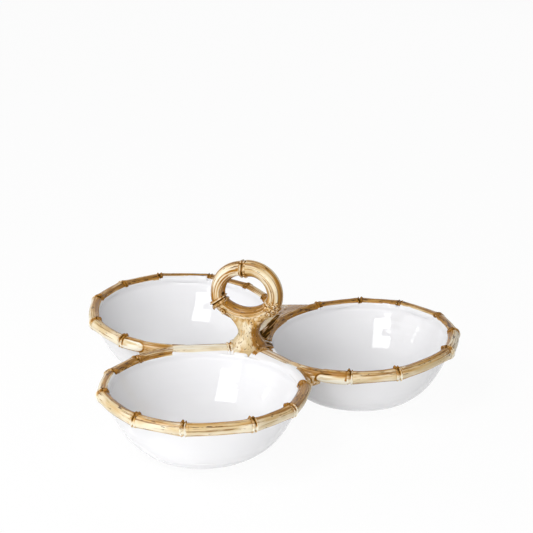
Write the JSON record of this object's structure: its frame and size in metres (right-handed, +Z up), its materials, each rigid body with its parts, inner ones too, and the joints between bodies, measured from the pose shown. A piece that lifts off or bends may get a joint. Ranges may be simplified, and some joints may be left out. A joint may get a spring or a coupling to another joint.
{
  "type": "divided serving bowl",
  "caption": "Divided serving bowl: round glazed bowls joined in a trefoil, with painted bamboo rims and a ring handle on a stem in the middle.",
  "frame": {"origin": "On the table under the middle of the whole outline. The handle's axis stands 22.5 mm behind it.", "axes": "+Z up, +X to the right along the widest way across the two back bowls, -Y towards the front bowl."},
  "size_m": [0.3174, 0.2952, 0.119],
  "materials": {
    "bowl_glaze": "glossy white glaze over stoneware, with faint throwing ridges",
    "cane_paint": "ivory glaze with brushed ochre and umber streaks along the cane, glossy",
    "knot_paint": "ochre ridges with umber paint pooled in the creases, glossy"
  },
  "bodies": {
    "root": {"bowl_side_front": "bowl_glaze", "bowl_side_right": "bowl_glaze", "bowl_side_left": "bowl_glaze", "bowl_base_front": "bowl_glaze", "bowl_base_right": "bowl_glaze", "bowl_base_left": "bowl_glaze", "front_cane_1": "cane_paint", "front_cane_2": "cane_paint", "front_cane_3": "cane_paint", "front_cane_4": "cane_paint", "front_cane_5": "cane_paint", "front_cane_6": "cane_paint", "front_cane_7": "cane_paint", "right_cane_1": "cane_paint", "right_cane_2": "cane_paint", "right_cane_3": "cane_paint", "right_cane_4": "cane_paint", "right_cane_5": "cane_paint", "right_cane_6": "cane_paint", "right_cane_7": "cane_paint", "left_cane_1": "cane_paint", "left_cane_2": "cane_paint", "left_cane_3": "cane_paint", "left_cane_4": "cane_paint", "left_cane_5": "cane_paint", "left_cane_6": "cane_paint", "left_cane_7": "cane_paint", "front_rim_knots": "knot_paint", "right_rim_knots": "knot_paint", "left_rim_knots": "knot_paint", "divider_right": "cane_paint", "divider_back": "cane_paint", "divider_left": "cane_paint", "fork_right": "cane_paint", "fork_back": "cane_paint", "fork_left": "cane_paint", "divider_knots": "knot_paint", "hub": "cane_paint", "handle_stem": "cane_paint", "ring_saddle": "cane_paint", "ring_cane_left": "cane_paint", "ring_cane_right": "cane_paint", "ring_knot_top": "knot_paint", "ring_knot_left": "knot_paint", "ring_knot_right": "knot_paint"}
  },
  "joints": []
}
